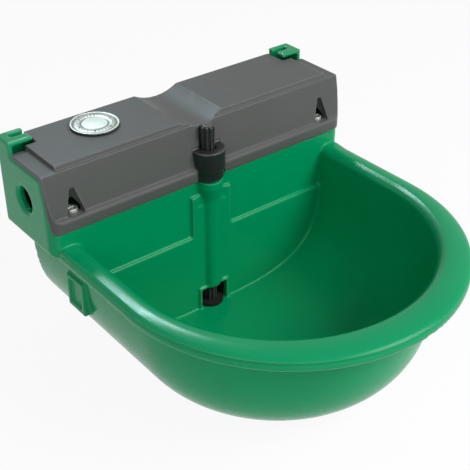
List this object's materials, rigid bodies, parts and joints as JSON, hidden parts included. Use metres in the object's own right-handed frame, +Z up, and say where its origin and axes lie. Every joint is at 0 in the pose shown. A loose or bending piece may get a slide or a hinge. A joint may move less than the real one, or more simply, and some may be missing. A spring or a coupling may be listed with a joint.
{
  "type": "livestock water trough",
  "caption": "Wall-mounted livestock drinking bowl with a float valve in a covered rear chamber and a lift-out drain rod.",
  "frame": {"origin": "on the rear mounting face, in the middle of its width, level with the lower edge of the side walls", "axes": "+X to the right along the wall, +Y out of the mounting face into the wall, +Z up"},
  "size_m": [0.323, 0.328, 0.2027],
  "materials": {
    "green_plastic": "gloss",
    "grey_plastic": "satin",
    "black_plastic": "satin",
    "white_plastic": "satin",
    "orange_plastic": "satin",
    "rubber": "matte",
    "brass": "machined",
    "steel": "brushed",
    "badge_silver": "satin"
  },
  "bodies": {
    "trough": {"trough_body": "green_plastic", "screw_inserts": "brass", "valve_body": "brass", "inlet_gasket": "rubber", "lock_washer": "steel", "lock_nut": "brass", "nozzle": "white_plastic", "inlet_strainer": "steel", "pivot_pin": "steel", "pin_clip": "steel"},
    "valve_piston": {"piston": "white_plastic", "piston_seal": "rubber"},
    "float": {"float_lever": "brass", "level_screw": "steel", "level_nut": "steel", "float_arm": "brass", "float_shell": "orange_plastic", "float_nuts": "brass"},
    "drain": {"drain_rod": "black_plastic", "drain_plug": "rubber", "plug_screw": "steel"},
    "lid": {"cover": "grey_plastic", "cover_screws": "steel", "badge": "badge_silver"}
  },
  "joints": [
    {"name": "float_swing", "type": "hinge", "parent": "trough", "child": "float", "pos_m": [0.09106, -0.038, 0.024], "axis": [0, 1, 0], "range_deg": [0, 15]},
    {"name": "piston_slide", "type": "slide", "parent": "trough", "child": "valve_piston", "axis": [1, 0, 0], "range_m": [0, 0.00327]},
    {"name": "drain_lift", "type": "slide", "parent": "trough", "child": "drain", "axis": [0, 0, 1], "range_m": [0, 0.014]},
    {"name": "cover_lift", "type": "slide", "parent": "trough", "child": "lid", "axis": [0, 0, 1], "range_m": [0, 0.12]}
  ],
  "couplings": [
    {"joint": "piston_slide", "follows": "float_swing", "m_per_rad": 0.0125}
  ]
}
